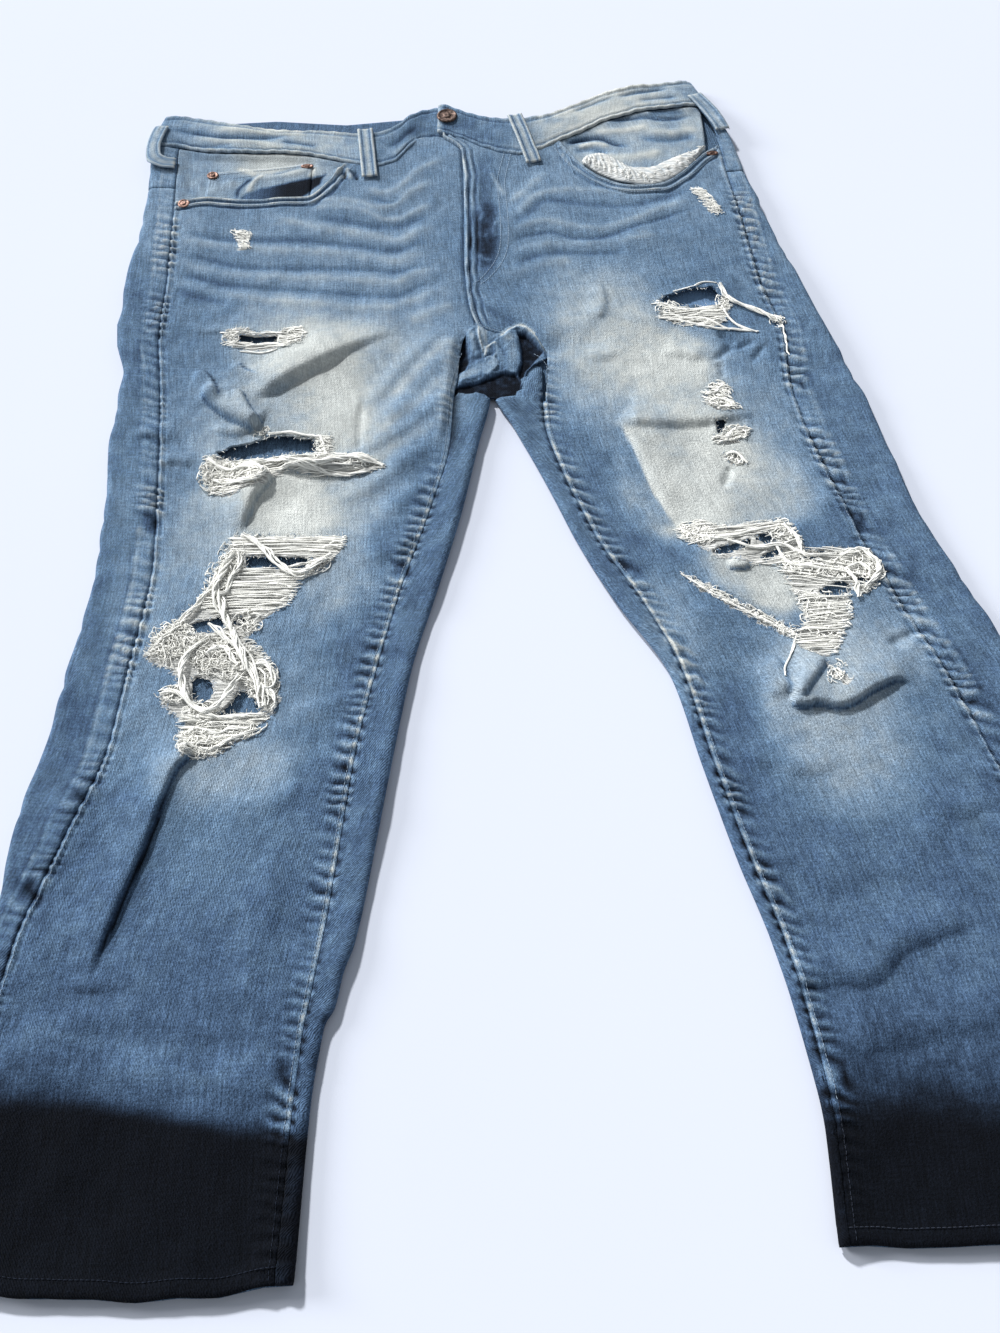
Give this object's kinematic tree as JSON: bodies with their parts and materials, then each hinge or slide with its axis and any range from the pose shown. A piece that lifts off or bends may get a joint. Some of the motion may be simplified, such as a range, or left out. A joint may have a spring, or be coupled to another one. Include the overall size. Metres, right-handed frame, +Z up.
{
  "type": "ripped jeans",
  "caption": "Ripped blue jeans laid flat with the front up, with a zip fly, scooped front pockets, belt loops, patch back pockets and torn thighs and knees",
  "frame": {"origin": "middle of the garment's outline, on the surface that it lies on", "axes": "+Z is up, away from the surface; +Y runs from the hems to the waist; +X is toward the wearer's left leg as the front is seen from above"},
  "size_m": [0.6415, 0.942, 0.0178],
  "materials": {
    "denim": "washed and bleached indigo twill, matte",
    "pocketing": "plain navy cotton, matte",
    "zip_tape": "navy woven tape, matte",
    "brass": "antique brass, worn",
    "copper": "antique copper, worn"
  },
  "bodies": {
    "root": {"back_panel_left": "denim", "back_panel_right": "denim", "back_pocket_left": "denim", "back_pocket_right": "denim", "back_yoke_left": "denim", "back_yoke_right": "denim", "belt_loop_back": "denim", "belt_loop_front_left": "denim", "belt_loop_front_right": "denim", "belt_loop_side_left": "denim", "belt_loop_side_right": "denim", "coin_pocket": "denim", "fly_facing": "denim", "fly_shield": "denim", "front_panel_left": "denim", "front_panel_right": "denim", "pocket_bag_left": "pocketing", "pocket_bag_right": "pocketing", "pocket_facing_left": "denim", "pocket_facing_right": "denim", "rivet_coin_inner": "copper", "rivet_coin_outer": "copper", "rivet_pocket_left": "copper", "rivet_pocket_right": "copper", "top_button": "brass", "waistband_left": "denim", "waistband_right": "denim", "zip_slider": "brass", "zip_tape": "zip_tape"}
  },
  "joints": []
}
